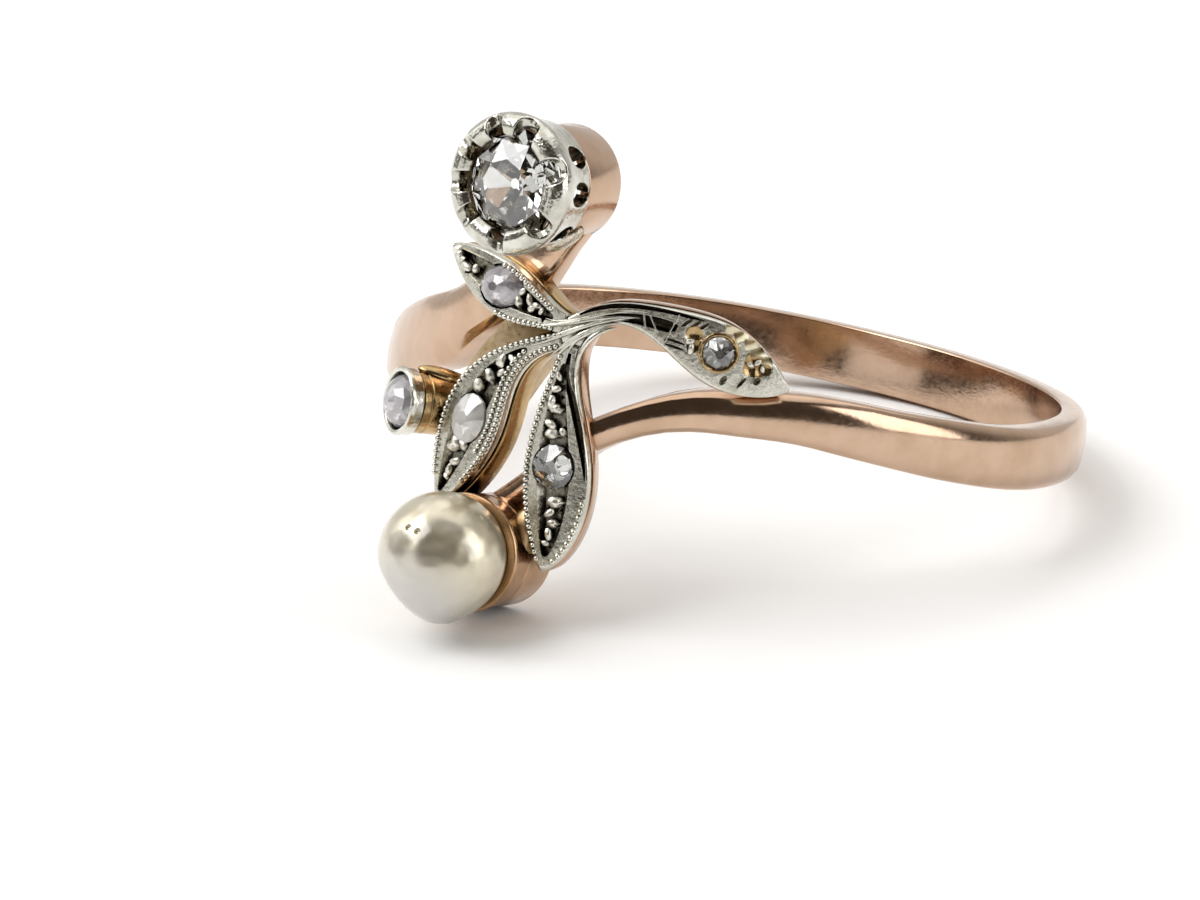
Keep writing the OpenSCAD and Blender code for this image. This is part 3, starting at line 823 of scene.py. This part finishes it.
# Solder and gold trim: a thin gold collar pressed round the fourth leaf's stone, and the runs of
# solder that hold the side tube on the band, the crown on its arm and the cup on the lower arm.
COLLAR_R, COLLAR_WIRE = 0.48, 0.075
bpy.ops.mesh.primitive_torus_add(major_segments=48, minor_segments=12, major_radius=COLLAR_R,
                                 minor_radius=COLLAR_WIRE)
collar = new_piece("stone_collar")
edit_all(collar)
roughen(0.035, 5, 2)
finish_edit()
on_head(collar, STONES[3][0], 0.04)
set_down(collar, "rose_gold", amber)


def blob(name, at, size, turn=(0, 0, 0), finish=old_gold):
    """A run of solder: a ball drawn out and flattened, with an uneven skin."""
    run = ball(name, 1, segments=24, rings=12)
    edit_all(run)
    roughen(0.06, 3, 2)
    finish_edit()
    settle(run, at, turn, size)
    set_down(run, "rose_gold", finish, sharp=60)


blob("solder_side_tube", (-3.3, -9.7, -0.16), (0.8, 0.34, 0.2), (0, 8, 35))
blob("solder_side_foot", (-2.95, -9.35, -1.35), (0.3, 0.3, 0.25))
pale_solder = worn_metal("pale_solder", (0.76, 0.70, 0.58), (0.56, 0.48, 0.34),
                         (0.05, 0.03, 0.01), 0.27, 0.0004, 5200, patch=2600, speckle=0.6,
                         dents=0.00006)
blob("solder_crown", (0.40, -11.3, 4.35), (0.62, 0.34, 0.2), (0, -40, 0), pale_solder)
blob("solder_arm", (0.35, -10.72, -3.4), (0.42, 0.3, 0.72), (0, 12, 0), satin_gold)
blob("solder_cup", (0.40, -10.55, -3.4), (0.36, 0.36, 0.85), (0, 10, 0), satin_gold)

# The claw crown: a flared ring of silver on the end of the diamond's tube, pierced at its foot,
# with eight claws filed from its rim and pushed over the stone.
# Rows: radius, height
CROWN_AT, CROWN_TURN = (DIAMOND_X, -11.75, DIAMOND_Z), -6
CROWN_ROWS = [
    (1.2, 0.02), (1.60, 0.0), (1.645, 0.05), (1.68, 0.35), (1.73, 0.65), (1.79, 0.92),
    (1.84, 1.1), (1.84, 1.25), (1.78, 1.43), (1.65, 1.56), (1.47, 1.61), (1.30, 1.57),
    (1.20, 1.48), (1.17, 1.42), (1.20, 1.37), (1.34, 1.38), (1.44, 1.33), (1.48, 1.2),
    (1.46, 1.06), (1.43, 0.92), (1.40, 0.88), (1.39, 0.84), (1.2, 0.48), (1.2, 0.02),
]
# Notches between the claws: angle, radius of the notch
NOTCHES = [(74, 0.38), (23, 0.38), (-33, 0.36), (-88, 0.28), (-134, 0.27), (-171, 0.31),
           (152, 0.27), (112, 0.28)]
NOTCH_HEIGHT = 1.60
# Windows at its foot: angles, height of the middle, radius, how much taller than wide
WINDOWS, WINDOW_HEIGHT, WINDOW_R, WINDOW_TALL = (36, 2, -40, -88), 0.46, 0.31, 1.4
# The crown darkens further into its hollows than the other silver: tarnish, and painted shade for
# the shadow round its foot and in its notches and windows.
crown_silver = worn_metal("crown_silver", (0.70, 0.69, 0.63), (0.46, 0.45, 0.38),
                          (0.11, 0.085, 0.045), 0.17, 0.0009, 2200, patch=1800, dents=0.00005,
                          tarnish_and_shade_reach=(0.36, 0.84))
crown = turned("crown_ring", CROWN_ROWS, 96)


def filed(length, radius, place, along_x, angle):
    """A round file's cut, across the rim or down into it, turned to its angle."""
    cutter = rod("file", radius, length, place, 24, (0, pi / 2 if along_x else 0, 0))
    settle(cutter, turn=(0, 0, angle))
    return cutter


for angle, radius in NOTCHES:
    cut(crown, filed(1.23, radius * 0.88, (1.95, 0, NOTCH_HEIGHT), True, angle + 0.7),
        filed(1.0, radius * 0.84, (1.29, 0, NOTCH_HEIGHT), False, angle + 0.4), finish=tarnished)
for angle in WINDOWS:
    arch = filed(2.0, WINDOW_R, (1.7, 0, 0), True, angle)
    settle(arch, (0, 0, WINDOW_HEIGHT), size=(1, 1, WINDOW_TALL))
    cut(crown, arch, finish=tarnished)
tool(crown, "REMESH", mode="VOXEL", voxel_size=0.032)
tool(crown, "SMOOTH", factor=0.5, iterations=6)
facing(crown, CROWN_AT, CROWN_TURN)
set_down(crown, "silver", crown_silver, "claw_crown", sharp=180)

# The side stone's collet: a short silver ring with a floor, turned in one piece and soldered on
# the end of its tube. Its thin lip is rubbed over the edge of the stone.
# Rows: radius, height
COLLET_ROWS = [(0.05, -0.31), (0.83, -0.32), (0.87, -0.28), (0.88, -0.1), (0.90, 0.0),
               (0.89, 0.06), (0.84, 0.09), (0.77, 0.07), (0.735, 0.0), (0.72, -0.22),
               (0.05, -0.22)]
collet = turned("side_collet", COLLET_ROWS, 48)
facing(collet, SIDE, SIDE_TURN)
set_down(collet, "silver", silver, "side_bezel")

# The small diamonds of the second, third and fourth leaves: rose cuts with flat facets, held by
# the grains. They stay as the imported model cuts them, and one of them is clouded.
DIAMOND_IOR = 2.42


def diamond_finish(name, low, high, clear, cloud, wear):
    """Diamond, clear or clouded inside, with a little wear on its facets."""
    material, tree, shader, place = new_finish(name)
    haze = noise(tree, place, *cloud)
    fill(tree, shader, {"Base Color": ramp(tree, haze, 0.35, low, 0.65, high),
                        "Roughness": spread(tree, haze, 0.3, 0.7, *wear),
                        "IOR": DIAMOND_IOR, "Transmission Weight": clear})
    return material


stone = diamond_finish("old_cut_diamond", (0.80, 0.81, 0.78), (0.98, 0.99, 0.96), 1,
                       (1500, 3), (0.0, 0.06))
pale = diamond_finish("pale_diamond", (0.58, 0.56, 0.54), (0.93, 0.91, 0.88), 0.4,
                      (1300, 4, 0.6), (0.01, 0.07))
for name, finish in (("leaf_diamond_2", pale), ("leaf_diamond_3", stone),
                     ("leaf_diamond_4", stone)):
    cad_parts[name].data.materials.clear()
    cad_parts[name].data.materials.append(finish)

# Three of the diamonds are cut here: the main one, an old cut with a high crown and a small
# table, and two rose cuts, domed and flat behind, that stand well out of their settings.
# Rows: radius, height, whether the corners turn half a step there
OLD_CUT_ROWS = [(0.14, -0.93, 0), (0.74, -0.55, 1), (1.42, -0.05, 1), (1.42, 0.05, 0),
                (1.16, 0.37, 1), (0.64, 0.61, 1)]
ROSE_ROWS = [(1.0, -0.10, 0), (1.0, 0.0, 0), (0.84, 0.38, 1), (0.52, 0.74, 1), (0.2, 0.92, 1)]
GIRDLE_DEPTH = 0.96  # from the crown's foot to the middle of the main diamond


def facetted(name, rows, half_long, half_wide, rise, corners=12):
    """A cut stone: rows of corners joined by flat three-cornered facets."""
    bpy.ops.mesh.primitive_circle_add(vertices=corners, radius=rows[0][0], fill_type="NGON")
    made = new_piece(name)
    edit_all(made)
    move(0, 0, rows[0][1])
    for (radius, height, _), (next_radius, next_height, turns) in zip(rows, rows[1:]):
        extrude(z=next_height - height)
        scale(next_radius / radius, next_radius / radius, 1)
        if turns:
            bpy.ops.transform.rotate(value=pi / corners, orient_axis="Z",
                                     center_override=(0, 0, next_height))
    bpy.ops.mesh.select_all(action="SELECT")
    bpy.ops.mesh.quads_convert_to_tris()
    finish_edit()
    face_outwards(made)
    settle(made, size=(half_long, half_wide, rise))
    return made


main_stone = facetted("main_old_cut", OLD_CUT_ROWS, 1, 1, 1, 8)
facing(main_stone, (CROWN_AT[0] + GIRDLE_DEPTH * sin(radians(CROWN_TURN)),
                    CROWN_AT[1] - GIRDLE_DEPTH, CROWN_AT[2]), CROWN_TURN)
set_down(main_stone, "diamond", stone, "main_diamond", sharp=1)
milky = diamond_finish("rose_cut_diamond", (0.38, 0.35, 0.38), (0.80, 0.77, 0.80), 0.6,
                       (1300, 4, 0.6), (0.01, 0.07))
leaf_rose = facetted("leaf_rose_cut", ROSE_ROWS, STONES[0][1], STONES[0][2], 0.42)
on_head(leaf_rose, STONES[0][0], 0.06, STONES[0][3])
set_down(leaf_rose, "diamond", milky, "leaf_diamond_1", sharp=1)
side_rose = facetted("side_rose_cut", ROSE_ROWS, 0.70, 0.70, 0.44)
facing(side_rose, SIDE, SIDE_TURN)
set_down(side_rose, "diamond", milky, "side_diamond", sharp=1)

# The pearl: nearly round, a little flat at its lower left, with a blunt point below and two
# pits in its skin. It is drilled behind for its peg, and glued on it.
PEARL_R = 1.66
PITS, PIT_R = [(-1.183, -14.041, -3.437), (-0.875, -14.09, -3.468)], 0.09
FLAT_AT = Vector((-1.05, -0.4, -1.1))
PEG_HOLE_R, PEG_HOLE_DEEP, PEG_HOLE_Y = 0.33, 1.6, -11.7
TO_PAINTED_REFLECTION = (-0.168, -0.776, -0.608)  # towards its lower front and blunt point, where a greyish white reflection of the floor is painted on the cream nacre
REFLECTION_FROM, REFLECTION_TO = 0.0072, 0.0083  # metres that way, where the painted reflection begins and where it is full


def push(test, by, falloff, reach):
    """In edit mode, pushes the points that pass the test, and less those around them."""
    pick(test)
    bpy.ops.transform.translate(value=by, use_proportional_edit=True,
                                proportional_edit_falloff=falloff, proportional_size=reach)


pearl = ball("cream_pearl", PEARL_R, segments=96, rings=48)
edit(pearl)
push(lambda co: (co - FLAT_AT).length < 0.35, (0.07, 0, 0.07), "SMOOTH", 0.8)
push(lambda co: (co.x - 0.15) ** 2 + co.y ** 2 < 0.1 and co.z < 0, (0.08, 0, -0.09), "SHARP", 1.0)
finish_edit()
settle(pearl, PEARL)
cut(pearl, rod("drill", PEG_HOLE_R, PEG_HOLE_DEEP, (PEARL[0], PEG_HOLE_Y, PEARL[2]), 24, ALONG_Y))
for pit in PITS:
    cut(pearl, ball("pit", PIT_R, pit, segments=16))
nacre, tree, shader, place = new_finish("nacre")
cream = ramp(tree, noise(tree, place, 700, 3), 0.3, (0.54, 0.48, 0.33), 0.7, (0.70, 0.63, 0.47))
# The nacre's lower front turns greyish white: a painted reflection of the floor.
below = node(tree, "VectorMath", "Value", {0: place, 1: TO_PAINTED_REFLECTION}, operation="DOT_PRODUCT")
painted_reflection = spread(tree, below, REFLECTION_FROM, REFLECTION_TO, 0.0, 0.85)
body = node(tree, "MixRGB", "Color", {"Fac": painted_reflection, "Color1": cream,
                                      "Color2": (0.50, 0.485, 0.47, 1)})
waves = node(tree, "Bump", "Normal", {"Height": noise(tree, place, 750, 2, 0.45),
                                      "Strength": 1.0, "Distance": 0.00025})
fill(tree, shader, {"Base Color": body, "Normal": waves, "Roughness": 0.33, "Metallic": 0.75,
                    "Specular IOR Level": 0.9, "Coat Weight": 1.0, "Coat Roughness": 0.17,
                    "Coat IOR": 2.0})
set_down(pearl, "pearl", nacre, "pearl", sharp=40)

# The table: plain pale paper, lit by large soft lights, seen through a long lens. A white sweep
# stands behind the ring, and the viewer's side of the room is dark.
bpy.ops.mesh.primitive_plane_add(size=3)
floor = bpy.context.object
floor.name = "floor"
paper, tree, shader, place = new_finish("paper")
fibres = ramp(tree, noise(tree, place, 900, 2), 0, (0.95, 0.95, 0.95), 1, (0.98, 0.98, 0.98))
fill(tree, shader, {"Base Color": fibres, "Roughness": 0.8})
floor.data.materials.append(paper)

# Lights: name, place, height of the point on the ring's axis that it aims at, width and depth
# in metres, power in watts, colour
LIGHTS = [
    ("overhead", (-0.04, 0.10, 0.45), 0, (0.62, 0.62), 0.9, (1.0, 0.99, 0.97)),
    ("front_left", (-0.17, -0.16, 0.27), 0.006, (0.26, 0.22), 0.75, (1, 1, 1)),
    ("side_left", (-0.3, -0.05, 0.16), 0.006, (0.2, 0.2), 0.12, (1, 1, 1)),
    ("low_right", (0.33, 0.04, 0.14), 0.01, (0.2, 0.26), 0.44, (1, 1, 1)),
    ("low_front", (-0.16, -0.33, 0.07), 0.006, (0.2, 0.12), 0.07, (1, 1, 1)),
]
for name, at, aim, size, power, colour in LIGHTS:
    bpy.ops.object.light_add(type="AREA", location=at)
    light = bpy.context.object
    light.name = name
    light.data.shape, light.data.size, light.data.size_y = "RECTANGLE", *size
    light.data.energy, light.data.color = power, colour
    light.rotation_euler = (Vector((0, 0, aim)) - Vector(at)).to_track_quat("-Z", "Y").to_euler()

TO_SWEEP = (-0.47, 0.76, 0.45)
world = bpy.data.worlds.new("studio")
world.use_nodes = True
tree = world.node_tree
seen = node(tree, "VectorMath", "Value", {0: node(tree, "TexCoord", "Generated"), 1: TO_SWEEP},
            operation="DOT_PRODUCT")
sweep = ramp(tree, seen, 0.05, (0.065, 0.053, 0.042), 0.65, (0.72, 0.71, 0.69))
fill(tree, tree.nodes["Background"], {"Color": sweep})
bpy.context.scene.world = world
bpy.context.scene.view_settings.view_transform = "Standard"

# The camera: the long lens that was fitted to the photograph, 20 degrees above the table.
bpy.ops.object.camera_add(location=(0.1445973, -0.239615, 0.1044547),
                          rotation=(radians(69.9022), radians(0.2033), radians(31.4793)))
camera = bpy.context.object
camera.name = "photo_view"
camera.data.lens = 338.94
camera.data.sensor_width = 36
camera.data.clip_start = 0.01
bpy.context.scene.camera = camera

bpy.context.view_layer.update()
